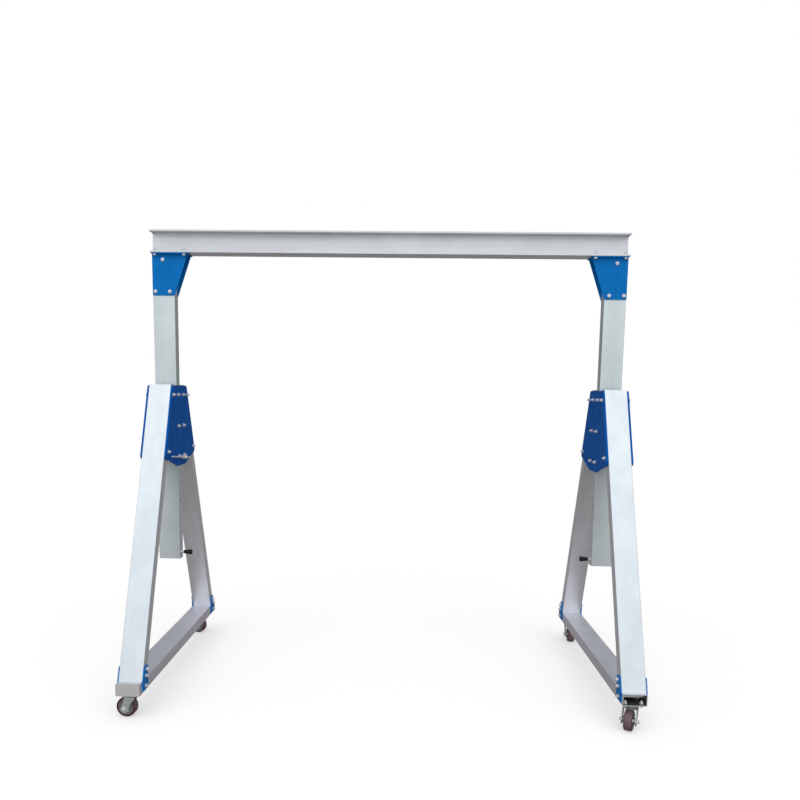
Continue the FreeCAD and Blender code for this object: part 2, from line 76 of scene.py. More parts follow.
# ---------------------------------------------------------------- materials
class Graph:
    """A node tree with short calls to add and link its nodes."""

    def __init__(self, tree, place):
        self.tree = tree
        self.tree.nodes.clear()
        self.place = self.tree.nodes.new("ShaderNodeTexCoord").outputs[place]

    def mapped(self, scale, rotation=(0, 0, 0)):
        node = self.tree.nodes.new("ShaderNodeMapping")
        node.inputs["Scale"].default_value = scale
        node.inputs["Rotation"].default_value = rotation
        self.tree.links.new(self.place, node.inputs["Vector"])
        return node.outputs[0]

    def noise(self, scale, detail=3.0, where=None, rough=0.5):
        node = self.tree.nodes.new("ShaderNodeTexNoise")
        node.inputs["Scale"].default_value = scale
        node.inputs["Detail"].default_value = detail
        node.inputs["Roughness"].default_value = rough
        self.tree.links.new(where or self.place, node.inputs["Vector"])
        return node.outputs["Fac"]

    def cells(self, scale):
        node = self.tree.nodes.new("ShaderNodeTexVoronoi")
        node.inputs["Scale"].default_value = scale
        self.tree.links.new(self.place, node.inputs["Vector"])
        return node.outputs["Color"]

    def ramp(self, source, low, high, to_low=0.0, to_high=1.0):
        node = self.tree.nodes.new("ShaderNodeMapRange")
        node.clamp = True
        ends = {"From Min": low, "From Max": high, "To Min": to_low, "To Max": to_high}
        for name, value in ends.items():
            node.inputs[name].default_value = value
        self.tree.links.new(source, node.inputs["Value"])
        return node.outputs["Result"]

    def maths(self, operation, first, second):
        node = self.tree.nodes.new("ShaderNodeMath")
        node.operation = operation
        for socket, value in zip(node.inputs, (first, second)):
            if isinstance(value, (int, float)):
                socket.default_value = value
            else:
                self.tree.links.new(value, socket)
        return node.outputs[0]

    def mix(self, factor, first, second):
        node = self.tree.nodes.new("ShaderNodeMix")
        node.data_type = "RGBA"
        colour_inputs = [socket for socket in node.inputs if socket.type == "RGBA"]
        for socket, value in zip([node.inputs[0]] + colour_inputs, (factor, first, second)):
            if isinstance(value, (int, float)):
                socket.default_value = value
            elif isinstance(value, tuple):
                socket.default_value = value + (1.0,)
            else:
                self.tree.links.new(value, socket)
        return [socket for socket in node.outputs if socket.type == "RGBA"][0]

    def bump(self, height, distance, strength):
        node = self.tree.nodes.new("ShaderNodeBump")
        node.inputs["Distance"].default_value = distance
        node.inputs["Strength"].default_value = strength
        self.tree.links.new(height, node.inputs["Height"])
        return node.outputs["Normal"]

    def attribute(self, name):
        node = self.tree.nodes.new("ShaderNodeAttribute")
        node.attribute_name = name
        return node.outputs["Fac"]

    def split(self, source):
        node = self.tree.nodes.new("ShaderNodeSeparateXYZ")
        self.tree.links.new(source, node.inputs[0])
        return node.outputs


class Surface(Graph):
    """The node tree of a material with one Principled shader."""

    def __init__(self, name):
        self.material = bpy.data.materials.new(name)
        self.material.use_nodes = True
        super().__init__(self.material.node_tree, "Object")
        output = self.tree.nodes.new("ShaderNodeOutputMaterial")
        self.shader = self.tree.nodes.new("ShaderNodeBsdfPrincipled")
        self.tree.links.new(self.shader.outputs[0], output.inputs["Surface"])

    def set(self, **values):
        for name, value in values.items():
            self.shader.inputs[name.replace("_", " ")].default_value = value

    def feed(self, socket, source):
        self.tree.links.new(source, self.shader.inputs[socket])


def shaded(colour, factor):
    return tuple(value * factor for value in colour)


def stretched(along, across_scale, along_scale):
    """The scale of a noise that is drawn out along one axis."""
    return tuple(along_scale if axis == along else across_scale for axis in "XYZ")


def aluminium(name, colour, roughness, along, tilt=0.0, streaks=1.0, painted_shade_hollow=None):
    """Extruded aluminium with die lines along one axis, light scuffs and some handling marks.

    hollow is the |x|, z, half width and half height of a tube's inside, where the colour is darkened as
    painted shade for the dim depth of the tube.
    """
    g = Surface(name)
    lines = g.noise(1.0, 4.0, g.mapped(stretched(along, 260.0, 0.9), (tilt, 0, 0)), 0.65)
    broad = g.noise(1.0, 2.0, g.mapped(stretched(along, 14.0, 0.5), (tilt, 0, 0)))
    cloud = g.noise(5.0, 5.0, None, 0.62)
    scuff_place = g.mapped((90.0, 12.0, 90.0), (0.4, 0.3, 0.9))
    scuffs = g.ramp(g.noise(1.0, 5.0, scuff_place, 0.7), 0.66, 0.74)
    rare = g.ramp(g.noise(1.7, 2.0), 0.52, 0.66)
    marks = g.maths("MULTIPLY", scuffs, rare)
    shade = g.maths("ADD", g.maths("MULTIPLY", broad, 0.4), g.maths("MULTIPLY", cloud, 0.6))
    tone = g.mix(g.ramp(shade, 0.36, 0.64), colour, shaded(colour, 0.88))
    fine = g.maths("MULTIPLY", g.ramp(lines, 0.42, 0.62), 0.10 * streaks)
    tone = g.mix(fine, tone, shaded(colour, 0.7))
    tone = g.mix(g.maths("MULTIPLY", marks, 0.3), tone, shaded(colour, 0.5))
    # painted shade: inside the tube's bore the colour drops to 30%, standing in for the shade deep in the tube
    if painted_shade_hollow:
        centre_x, centre_z, half_width, half_height = painted_shade_hollow
        place = g.split(g.place)
        beside = g.maths("SUBTRACT", g.maths("ABSOLUTE", place["X"], 0.0), centre_x)
        above = g.maths("SUBTRACT", place["Z"], centre_z)
        within_width = g.maths("LESS_THAN", g.maths("ABSOLUTE", beside, 0.0), half_width)
        within_height = g.maths("LESS_THAN", g.maths("ABSOLUTE", above, 0.0), half_height)
        tone = g.mix(g.maths("MULTIPLY", within_width, within_height), tone, shaded(colour, 0.30))
    g.feed("Base Color", tone)
    worn = g.maths("MULTIPLY", marks, 0.12)
    grain = g.ramp(lines, 0.3, 0.7, roughness - 0.05, roughness + 0.06)
    g.feed("Roughness", g.maths("ADD", grain, worn))
    g.set(Metallic=0.9)
    height = g.maths("SUBTRACT", lines, g.maths("MULTIPLY", marks, 1.2))
    g.feed("Normal", g.bump(height, 0.00005 * streaks, 0.7))
    return g.material


def powder_coat(name, colour, specular=0.10):
    """Blue powder coat: fine orange peel, faint colour drift, a few scuffs down to a paler blue."""
    g = Surface(name)
    drift = g.noise(9.0, 3.0)
    peel = g.noise(520.0, 1.0)
    scratch_place = g.mapped((160.0, 26.0, 70.0), (0.7, 0.2, 0.5))
    scratch = g.ramp(g.noise(1.0, 5.0, scratch_place, 0.7), 0.70, 0.78)
    where = g.ramp(g.noise(7.0, 2.0), 0.5, 0.62)
    marks = g.maths("MULTIPLY", scratch, where)
    tone = g.mix(g.ramp(drift, 0.3, 0.7), colour, shaded(colour, 0.82))
    pale = tuple(min(1.0, value * 1.25 + 0.03) for value in colour)
    g.feed("Base Color", g.mix(g.maths("MULTIPLY", marks, 0.5), tone, pale))
    gloss = g.ramp(drift, 0.3, 0.7, 0.46, 0.54)
    g.feed("Roughness", g.maths("ADD", gloss, g.maths("MULTIPLY", marks, 0.2)))
    g.set(Specular_IOR_Level=specular)
    g.feed("Normal", g.bump(peel, 0.00012, 0.5))
    return g.material


def zinc(name, colour, roughness, spangle=0.0, metallic=1.0):
    """Zinc plate: a cool metal, a little cloudy, with faint crystals where spangle is set."""
    g = Surface(name)
    cloud = g.noise(45.0, 4.0)
    tone = g.mix(g.ramp(cloud, 0.3, 0.7), colour, shaded(colour, 0.78))
    if spangle:
        dark = shaded(colour, 0.7)
        tone = g.mix(spangle, tone, g.mix(0.5, tone, dark))
        crystals = g.split(g.cells(230.0))["X"]
        tone = g.mix(g.maths("MULTIPLY", crystals, spangle), tone, dark)
    g.feed("Base Color", tone)
    g.feed("Roughness", g.ramp(cloud, 0.3, 0.7, roughness - 0.05, roughness + 0.10))
    g.set(Metallic=metallic)
    g.feed("Normal", g.bump(g.noise(700.0, 2.0), 0.00003, 0.5))
    return g.material


def moulded(name, colour, roughness, grain=900.0, coat=0.0, specular=0.5):
    """Moulded plastic or nylon with a fine grain and slight rubbing."""
    g = Surface(name)
    rub = g.noise(30.0, 4.0)
    rubbed = tuple(value * 1.25 + 0.006 for value in colour)
    g.feed("Base Color", g.mix(g.ramp(rub, 0.45, 0.75), colour, rubbed))
    g.feed("Roughness", g.ramp(rub, 0.3, 0.7, roughness - 0.05, roughness + 0.08))
    g.set(Specular_IOR_Level=specular, Coat_Weight=coat, Coat_Roughness=0.15)
    g.feed("Normal", g.bump(g.noise(grain, 1.0), 0.00004, 0.6))
    return g.material


def polyurethane(name, colour, dust):
    """Maroon tread: clear and deep on its sides, dusty and scuffed where it rolls."""
    g = Surface(name)
    rolling = g.attribute("rolling")
    cloud = g.noise(60.0, 4.0, None, 0.65)
    grit = g.noise(420.0, 3.0)
    cover = g.maths("MULTIPLY", rolling, g.ramp(cloud, 0.25, 0.65, 0.40, 0.92))
    side_dust = g.ramp(g.noise(25.0, 4.0), 0.5, 0.8, 0.0, 0.18)
    cover = g.maths("MAXIMUM", cover, side_dust)
    g.feed("Base Color", g.mix(cover, colour, dust))
    g.feed("Roughness", g.ramp(cover, 0.0, 1.0, 0.26, 0.62))
    g.set(Specular_IOR_Level=0.55)
    g.feed("Normal", g.bump(g.maths("MULTIPLY", grit, rolling), 0.00015, 0.6))
    return g.material


def scratched_cap(name, colour):
    """The dull grey end caps, with cast mottling and dark scrape marks."""
    g = Surface(name)
    mottle = g.noise(38.0, 5.0, None, 0.65)
    scrape_place = g.mapped((46.0, 46.0, 230.0), (0.0, 0.62, 0.0))
    scrape = g.ramp(g.noise(1.0, 3.0, scrape_place), 0.70, 0.76)
    where = g.ramp(g.noise(16.0, 1.0), 0.56, 0.64)
    marks = g.maths("MULTIPLY", scrape, where)
    tone = g.mix(g.ramp(mottle, 0.3, 0.7), colour, shaded(colour, 0.84))
    g.feed("Base Color", g.mix(g.maths("MULTIPLY", marks, 0.8), tone, (0.06, 0.06, 0.07)))
    g.feed("Roughness", g.ramp(mottle, 0.3, 0.7, 0.52, 0.68))
    g.set(Metallic=0.25)
    g.feed("Normal", g.bump(g.maths("SUBTRACT", mottle, marks), 0.0003, 0.5))
    return g.material


# the slant of the legs, read from the boxes that a leg and a mast fill
SLANTED_DEPTH = 1.07
leg_low, leg_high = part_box("left_front_leg")
mast_low, mast_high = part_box("left_mast")
leg_run = leg_high[1] - leg_low[1] - (mast_high[1] - mast_low[1]) * SLANTED_DEPTH
LEG_TILT = math.atan(leg_run / (leg_high[2] - leg_low[2]))

# the inside of the base tubes, a little more than their bore, which the base aluminium darkens as painted
# shade
TUBE_WALL = 0.005
BORE_MARGIN = 0.001
base_low, base_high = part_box("right_base_beam")
BASE_BORE = (
    (base_low[0] + base_high[0]) / 2,
    (base_low[2] + base_high[2]) / 2,
    (base_high[0] - base_low[0]) / 2 - TUBE_WALL + BORE_MARGIN,
    (base_high[2] - base_low[2]) / 2 - TUBE_WALL + BORE_MARGIN,
)

MATERIALS = {
    # painted light: the beam, masts, legs and base are one alloy; their differing brightness and blue tints
    # are set per part for how light and sky reflections fall on each
    "beam_aluminium": aluminium("beam_aluminium", (0.86, 0.89, 0.91), 0.42, "X"),
    "mast_aluminium": aluminium("mast_aluminium", (0.85, 0.95, 0.96), 0.42, "Z"),
    "front_leg_aluminium": aluminium("front_leg_aluminium", (0.90, 0.96, 0.99), 0.42, "Z", LEG_TILT),
    "rear_leg_aluminium": aluminium("rear_leg_aluminium", (0.97, 0.97, 0.99), 0.42, "Z", -LEG_TILT),
    "base_aluminium": aluminium(
        "base_aluminium", (0.93, 0.93, 1.0), 0.48, "Y", streaks=0.8, painted_shade_hollow=BASE_BORE
    ),
    "cap_grey": scratched_cap("cap_grey", (0.76, 0.74, 0.72)),
    "blue_paint": powder_coat("blue_paint", (0.001, 0.25, 0.76)),
    # painted shade: the side plates have the same blue powder coat as the gussets; this darker, less glossy
    # copy stands in for the shade on them
    "side_plate_painted_shade": powder_coat("side_plate_painted_shade", (0.0005, 0.145, 0.60), specular=0.04),
    "zinc_plate": zinc("zinc_plate", (0.72, 0.79, 0.73), 0.44, spangle=0.4, metallic=0.85),
    "zinc_bolts": zinc("zinc_bolts", (1.0, 1.0, 1.0), 0.18, metallic=0.30),
    "black_grip": moulded("black_grip", (0.004, 0.004, 0.006), 0.30, grain=500.0, coat=0.12, specular=0.3),
    "hub_iron": zinc("hub_iron", (0.50, 0.55, 0.55), 0.42),
    "maroon_tread": polyurethane("maroon_tread", (0.085, 0.006, 0.010), (0.25, 0.170, 0.200)),
    "nylon_white": moulded("nylon_white", (0.62, 0.62, 0.58), 0.45),
    "rubber_black": moulded("rubber_black", (0.018, 0.018, 0.018), 0.55),
}
RECORD_SLOTS = {part["node"]: part["material_slot"] for part in frame["record"]["subparts"]}
OWN_FINISHES = {
    "front_leg": "front_leg_aluminium",
    "rear_leg": "rear_leg_aluminium",
    "side_plate": "side_plate_painted_shade",
}


def finish_of(node):
    """The material of a CAD node that stays on show."""
    for ending, finish in OWN_FINISHES.items():
        if node.endswith(ending):
            return MATERIALS[finish]
    return MATERIALS[RECORD_SLOTS[node]]


for node_name, node_object in nodes.items():
    node_object.data.materials.clear()
    node_object.data.materials.append(finish_of(node_name))


def soften_edges(node, width):
    """Round the sharp edges of a CAD node a little, so that they catch the light."""
    bevel = nodes[node].modifiers.new("edges", "BEVEL")
    bevel.width = width
    bevel.segments = 2
    bevel.limit_method = "ANGLE"
    bevel.angle_limit = math.radians(50)


for side in SIDES:
    for piece_name in ("inner_side_plate", "outer_side_plate", "foot_plates", "gusset_plates"):
        soften_edges(side + "_" + piece_name, 0.0008)
    soften_edges(side + "_caster_plates", 0.0006)
for piece_name in ("left_end_caps", "right_end_cap"):
    soften_edges(piece_name, 0.0012)


# ---------------------------------------------------------------- mesh helpers
def replace_node(node, name, bm, finishes, smooth_below):
    """Make a piece from a bmesh, let it ride on the body of a CAD node, and put it in the node's place.

    The first of the finishes is also the material slot of the record. Edges stay sharp above smooth_below,
    in degrees.
    """
    mesh = bpy.data.meshes.new(name)
    bm.normal_update()
    bm.to_mesh(mesh)
    bm.free()
    for finish in finishes:
        mesh.materials.append(MATERIALS[finish])
    piece = bpy.data.objects.new(name, mesh)
    bpy.context.scene.collection.objects.link(piece)
    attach(piece, node_body[node])
    smooth_by_angle(piece, smooth_below)
    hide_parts(node)


def smooth_by_angle(piece, degrees):
    for polygon in piece.data.polygons:
        polygon.use_smooth = True
    limit = math.radians(degrees)
    bm = bmesh.new()
    bm.from_mesh(piece.data)
    for edge in bm.edges:
        sharp = len(edge.link_faces) != 2 or edge.calc_face_angle(0.0) > limit
        edge.smooth = not sharp
    bm.to_mesh(piece.data)
    bm.free()


def rings(bm, profile, to_world, steps=ROUND_STEPS, material=0):
    """Stack rings along a local Z axis, from a profile of (radius, height).

    A radius may be a function of the angle and the height. A radius of 0 at either end closes it in a point.
    """
    loops = []
    for radius, height in profile:
        if not callable(radius) and radius == 0:
            loops.append([bm.verts.new(to_world @ Vector((0, 0, height)))])
            continue
        loop = []
        for i in range(steps):
            angle = 2 * math.pi * i / steps
            reach = radius(angle, height) if callable(radius) else radius
            place = Vector((reach * math.cos(angle), reach * math.sin(angle), height))
            loop.append(bm.verts.new(to_world @ place))
        loops.append(loop)
    for lower, upper in zip(loops, loops[1:]):
        for i in range(steps):
            j = (i + 1) % steps
            if len(lower) == 1:
                face = bm.faces.new((lower[0], upper[j], upper[i]))
            elif len(upper) == 1:
                face = bm.faces.new((lower[i], lower[j], upper[0]))
            else:
                face = bm.faces.new((lower[i], lower[j], upper[j], upper[i]))
            face.material_index = material
    return loops


def closed_rings(bm, profile, to_world, steps=ROUND_STEPS, material=0):
    """A ring-shaped solid from a closed profile of (radius, height)."""
    loops = rings(bm, profile, to_world, steps, material)
    first, last = loops[0], loops[-1]
    for i in range(steps):
        j = (i + 1) % steps
        face = bm.faces.new((last[i], last[j], first[j], first[i]))
        face.material_index = material


def frame_matrix(origin, axis, hint=Vector((0, 0, 1))):
    """A matrix whose local Z lies along axis."""
    z_axis = Vector(axis).normalized()
    if abs(z_axis.dot(hint)) > 0.95:
        hint = Vector((1, 0, 0))
    x_axis = hint.cross(z_axis).normalized()
    y_axis = z_axis.cross(x_axis)
    matrix = Matrix((x_axis, y_axis, z_axis)).transposed().to_4x4()
    return Matrix.Translation(Vector(origin)) @ matrix


def hexagon_radius(angle, turn=0.0):
    sector = math.pi / 3
    local = (angle + turn) % sector - sector / 2
    return HEX_FLATS / 2 / math.cos(local)


def chamfered_hexagon(bm, low, high, to_world, turn, round_low, round_high):
    """A hexagon prism whose corners are turned off in a shallow cone at one or both ends."""
    corner = HEX_FLATS / math.sqrt(3)
    slope = 0.45
    heights = [low]
    if round_low:
        heights += [low + 0.0004, low + 0.0010]
    heights += [low + 0.0022, high - 0.0022]
    if round_high:
        heights += [high - 0.0010, high - 0.0004]
    heights.append(high)
    inner = HEX_FLATS / 2 * 0.97

    def radius(angle, height):
        reach = hexagon_radius(angle, turn)
        if round_low:
            reach = min(reach, inner + (height - low) / slope)
        if round_high:
            reach = min(reach, inner + (high - height) / slope)
        return min(reach, corner)

    rings(bm, [(0, low)] + [(radius, height) for height in heights] + [(0, high)], to_world, 48)


def sleeve(bm, inner, outer, low, high, edge, to_world, material=0):
    """A plain sleeve or washer whose outer edges are chamfered by edge."""
    profile = [(inner, low), (outer - edge, low), (outer, low + edge)]
    profile += [(outer, high - edge), (outer - edge, high), (inner, high)]
    closed_rings(bm, profile, to_world, ROUND_STEPS, material)


def threaded_end(bm, low, high, to_world):
    """The end of a bolt with a real helical thread and a chamfered tip."""
    per_pitch = 6
    count = max(4, int((high - low) / BOLT_PITCH * per_pitch))
    heights = [low + (high - low) * i / count for i in range(count + 1)]

    def radius(angle, height):
        phase = (height / BOLT_PITCH - angle / (2 * math.pi)) % 1.0
        depth = THREAD_DEPTH * abs(2 * phase - 1)
        tip = max(0.0, (height - (high - 0.0016)) / 0.0016)
        return (BOLT_RADIUS - depth) * (1 - 0.14 * tip)

    rings(bm, [(0, low)] + [(radius, height) for height in heights] + [(0, high)], to_world, 24)


def add_bolt(bm, head_face, nut_face, shoulder=None):
    """A hexagon bolt with a lock nut, from the face under its head to the face under its nut.

    shoulder is the radius of a sleeve on its shank and where it starts and ends.
    """
    start = Vector(head_face)
    end = Vector(nut_face)
    length = (end - start).length
    to_world = frame_matrix(start, end - start)
    turn_head = random.uniform(0, math.pi / 3)
    turn_nut = random.uniform(0, math.pi / 3)
    sleeve(bm, BOLT_RADIUS, WASHER_RADIUS, -WASHER_THICKNESS, 0, 0.0004, to_world)
    head_top = -WASHER_THICKNESS - HEAD_HEIGHT
    chamfered_hexagon(bm, head_top, -WASHER_THICKNESS, to_world, turn_head, True, False)
    rings(bm, [(0, 0), (BOLT_RADIUS, 0), (BOLT_RADIUS, length), (0, length)], to_world, 24)
    sleeve(bm, BOLT_RADIUS, WASHER_RADIUS, length, length + WASHER_THICKNESS, 0.0004, to_world)
    nut_low = length + WASHER_THICKNESS
    nut_high = nut_low + NUT_HEIGHT
    nylon_low = nut_high - NYLON_HEIGHT
    chamfered_hexagon(bm, nut_low, nylon_low, to_world, turn_nut, True, True)
    collar = HEX_FLATS / 2 * 0.93
    crown = [(0, nylon_low), (collar, nylon_low), (collar, nut_high - 0.0012)]
    crown += [(collar * 0.97, nut_high - 0.0004), (collar * 0.86, nut_high), (0, nut_high)]
    rings(bm, crown, to_world)
    threaded_end(bm, nut_high - 0.0002, nut_high + THREAD_END, to_world)
    if shoulder:
        radius, low, high = shoulder
        sleeve(bm, BOLT_RADIUS, radius, low, high, 0.001, to_world, 1)


def islands(node):
    """The separate solids of a CAD node, each as a list of its points."""
    bm = bmesh.new()
    bm.from_mesh(nodes[node].data)
    bmesh.ops.remove_doubles(bm, verts=bm.verts, dist=1e-5)
    bm.verts.ensure_lookup_table()
    seen = set()
    groups = []
    for vert in bm.verts:
        if vert.index in seen:
            continue
        stack = [vert]
        seen.add(vert.index)
        group = []
        while stack:
            here = stack.pop()
            group.append(here.co.copy())
            for edge in here.link_edges:
                other = edge.other_vert(here)
                if other.index not in seen:
                    seen.add(other.index)
                    stack.append(other)
        groups.append(group)
    bm.free()
    return groups


def read_bolt(points):
    """The head face and nut face of a CAD bolt, and the radius and span of its sleeve if it has one."""
    low = Vector([min(p[i] for p in points) for i in range(3)])
    high = Vector([max(p[i] for p in points) for i in range(3)])
    centre = (low + high) / 2
    size = high - low
    axis = max(range(3), key=lambda i: size[i])
    along = Vector((0, 0, 0))
    along[axis] = 1.0

    def end_radius(end):
        near = [p for p in points if abs(p[axis] - end) < 1e-4]
        return max(((p - centre) - along * (p - centre)[axis]).length for p in near)

    head_end, nut_end = low[axis], high[axis]
    if end_radius(low[axis]) < end_radius(high[axis]):
        head_end, nut_end = nut_end, head_end
    way = 1.0 if nut_end > head_end else -1.0
    head_face = centre.copy()
    head_face[axis] = head_end + way * (HEAD_HEIGHT + WASHER_THICKNESS)
    nut_face = centre.copy()
    nut_face[axis] = nut_end - way * (NUT_HEIGHT + WASHER_THICKNESS + THREAD_END)
    radii = [((p - centre) - along * (p - centre)[axis]).length for p in points]
    places = [(p[axis] - head_face[axis]) * way for p in points]
    widest = max(radii)
    if widest < WASHER_RADIUS + 0.002:
        return head_face, nut_face, None
    span = [place for radius, place in zip(radii, places) if radius > widest - 1e-4]
    return head_face, nut_face, (widest, min(span), max(span))


def detailed_bolts(node):
    """Replace a node of plain bolts by bolts with washers, chamfered heads, lock nuts and threads."""
    bm = bmesh.new()
    for points in islands(node):
        add_bolt(bm, *read_bolt(points))
    replace_node(node, node + "_detail", bm, ("zinc_bolts", "nylon_white"), 32)


for side in SIDES:
    detailed_bolts(side + "_gusset_bolts")
    detailed_bolts(side + "_frame_bolts")


# ---------------------------------------------------------------- casters
# A caster is made with its swivel axis on the local Z axis and its wheel trailing towards local -Y.
WHEEL_RADIUS = 0.0585
WHEEL_HALF = 0.024
HUB_RADIUS = 0.045
HUB_HALF = 0.035
CHEEK_INSIDE = 0.036
CHEEK_OUTSIDE = 0.041
TRAIL = 0.038
EYE_RADIUS = 0.026
CROWN_TOP = 0.129
CROWN_BEND = 0.008
CROWN_FRONT = 0.024
CROWN_REAR = -0.038
PLATE_LOW = 0.149


def caster_frame(corner):
    """Where a caster stands and how it is turned, from its two joints."""
    swivel = joints[corner + "_swivel_turn"]["pos_m"]
    x_axis = Vector(joints[corner + "_wheel_spin"]["axis"]).normalized()
    y_axis = Vector((0, 0, 1)).cross(x_axis)
    matrix = Matrix((x_axis, y_axis, Vector((0, 0, 1)))).transposed().to_4x4()
    return Matrix.Translation((swivel[0], swivel[1], 0)) @ matrix


def axle_frame(corner):
    """Local Z along the axle, from the middle of the wheel."""
    middle = Matrix.Translation((0, -TRAIL, WHEEL_RADIUS))
    return caster_frame(corner) @ middle @ Matrix.Rotation(math.pi / 2, 4, "Y")


def mirrored(profile):
    """The other half of a wheel's profile, from its outer end back to its start."""
    return [(radius, -height) for radius, height in reversed(profile)]


def arc(centre_r, centre_h, radius, start, end, steps):
    """Points of an arc in a (radius, height) profile, with angles in degrees."""
    points = []
    for i in range(steps + 1):
        angle = math.radians(start + (end - start) * i / steps)
        points.append((centre_r + radius * math.cos(angle), centre_h + radius * math.sin(angle)))
    return points


def make_tyre(corner):
    """A tyre with round shoulders and a slightly crowned tread, marked where it rolls on the floor."""
    shoulder = 0.008
    crown = 0.0004
    flank = [
        (HUB_RADIUS, WHEEL_HALF - 0.0032),
        (HUB_RADIUS + 0.0012, WHEEL_HALF - 0.0012),
        (HUB_RADIUS + 0.0045, WHEEL_HALF - 0.0004),
    ]
    flank += arc(WHEEL_RADIUS - shoulder - crown, WHEEL_HALF - shoulder, shoulder, 84, 6, 9)
    tread_half = WHEEL_HALF - shoulder - 0.001
    tread = []
    for step in range(5, -6, -1):
        across = step / 5.0
        tread.append((WHEEL_RADIUS - crown * across ** 2, tread_half * across))
    bm = bmesh.new()
    closed_rings(bm, flank + tread + mirrored(flank), axle_frame(corner), 96)
    bmesh.ops.recalc_face_normals(bm, faces=bm.faces)
    rolling = bm.verts.layers.float.new("rolling")
    to_local = axle_frame(corner).inverted()
    for vert in bm.verts:
        local = to_local @ vert.co
        reach = math.hypot(local.x, local.y)
        vert[rolling] = min(1.0, max(0.0, (reach - (WHEEL_RADIUS - 0.0042)) / 0.0036))
    replace_node(corner + "_tyre", corner + "_tyre_detail", bm, ("maroon_tread",), 40)


def make_hub(corner):
    """A cast hub with a dished web, ribs, a turned rim and a bearing with a dark seal."""
    boss = 0.017
    seal_inner, seal_outer, seal_sunk = 0.0092, 0.0132, HUB_HALF - 0.0012
    bearing = [
        (0.0062, HUB_HALF), (0.0088, HUB_HALF), (seal_inner, 0.0342), (seal_inner, seal_sunk),
        (0.0128, seal_sunk), (seal_outer, 0.0342), (seal_outer, 0.0346), (0.0136, HUB_HALF),
    ]
    web = [
        (boss - 0.0012, HUB_HALF), (boss, HUB_HALF - 0.0012), (boss + 0.0006, 0.0150),
        (boss + 0.0022, 0.0118), (boss + 0.0048, 0.0104), (0.0290, 0.0098),
    ]
    rim = [
        (0.0358, 0.0106), (0.0382, 0.0124), (0.0393, 0.0150), (0.0398, 0.0202),
        (0.0406, 0.0210), (0.0442, 0.0210), (HUB_RADIUS, 0.0202),
    ]
    half = bearing + web + rim
    bm = bmesh.new()
    to_world = axle_frame(corner)
    closed_rings(bm, half + mirrored(half), to_world, 96)
    to_local = to_world.inverted()
    for face in bm.faces:
        local = to_local @ face.calc_center_median()
        reach = math.hypot(local.x, local.y)
        if seal_inner - 0.0001 < reach < seal_outer + 0.0001 and abs(local.z) > seal_sunk - 0.0003:
            face.material_index = 1
    for side in (-1, 1):
        for i in range(6):
            add_rib(bm, to_world @ Matrix.Rotation(math.pi / 3 * i, 4, "Z"), side)
    bmesh.ops.recalc_face_normals(bm, faces=bm.faces)
    replace_node(corner + "_wheel_hub", corner + "_hub_detail", bm, ("hub_iron", "rubber_black"), 32)


def add_rib(bm, to_world, side):
    """A low cast rib on the web of a hub, from the boss to the rim."""
    start, end = 0.0172, 0.0398
    half = 0.0016
    base = half + 0.0012
    count = 8
    stations = []
    for i in range(count + 1):
        t = i / count
        reach = start + (end - start) * t
        top = 0.0150 - 0.0022 * math.sin(math.pi * t)
        section = [(-base, 0.0094), (-half, 0.0112), (-half * 0.6, top)]
        section += [(-y, z) for y, z in reversed(section)]
        stations.append([bm.verts.new(to_world @ Vector((reach, y, side * z))) for y, z in section])
    for lower, upper in zip(stations, stations[1:]):
        for j in range(len(lower)):
            k = (j + 1) % len(lower)
            bm.faces.new((lower[j], lower[k], upper[k], upper[j]))
    bm.faces.new(stations[0])
    bm.faces.new(list(reversed(stations[-1])))


def fork_path():
    """The bent sheet seen along Y: (x, z, outward x, outward z) from one eye over the crown to the other."""
    path = []
    eye_steps, cheek_steps, bend_steps, crown_steps = 12, 10, 6, 8
    for i in range(eye_steps + 1):
        angle = math.pi / 2 * i / eye_steps
        path.append((-CHEEK_OUTSIDE, WHEEL_RADIUS - EYE_RADIUS * math.cos(angle), -1.0, 0.0))
    bend_low = CROWN_TOP - CROWN_BEND
    for i in range(1, cheek_steps + 1):
        height = WHEEL_RADIUS + (bend_low - WHEEL_RADIUS) * i / cheek_steps
        path.append((-CHEEK_OUTSIDE, height, -1.0, 0.0))
    bend_x = -CHEEK_OUTSIDE + CROWN_BEND
    for i in range(1, bend_steps + 1):
        angle = math.pi / 2 * i / bend_steps
        out_x, out_z = -math.cos(angle), math.sin(angle)
        path.append((bend_x + CROWN_BEND * out_x, bend_low + CROWN_BEND * out_z, out_x, out_z))
    for i in range(1, crown_steps):
        path.append((bend_x - 2 * bend_x * i / crown_steps, CROWN_TOP, 0.0, 1.0))
    return path + [(-x, z, -out_x, out_z) for x, z, out_x, out_z in reversed(path)]


def fork_edges(z):
    """Y of the rear and front edge of a cheek at height z."""
    if z <= WHEEL_RADIUS:
        reach = math.sqrt(max(0.0, EYE_RADIUS ** 2 - (WHEEL_RADIUS - z) ** 2))
        reach = max(reach, 0.0006)
        return -TRAIL - reach, -TRAIL + reach
    t = min(1.0, (z - WHEEL_RADIUS) / (CROWN_TOP - CROWN_BEND - WHEEL_RADIUS))
    bow = 0.0045 * math.sin(math.pi * min(1.0, t * 1.05))
    rear = -TRAIL - EYE_RADIUS + (CROWN_REAR + TRAIL + EYE_RADIUS) * t + bow
    front = -TRAIL + EYE_RADIUS + (CROWN_FRONT + TRAIL - EYE_RADIUS) * t ** 1.25 - bow * 0.4
    return rear, front


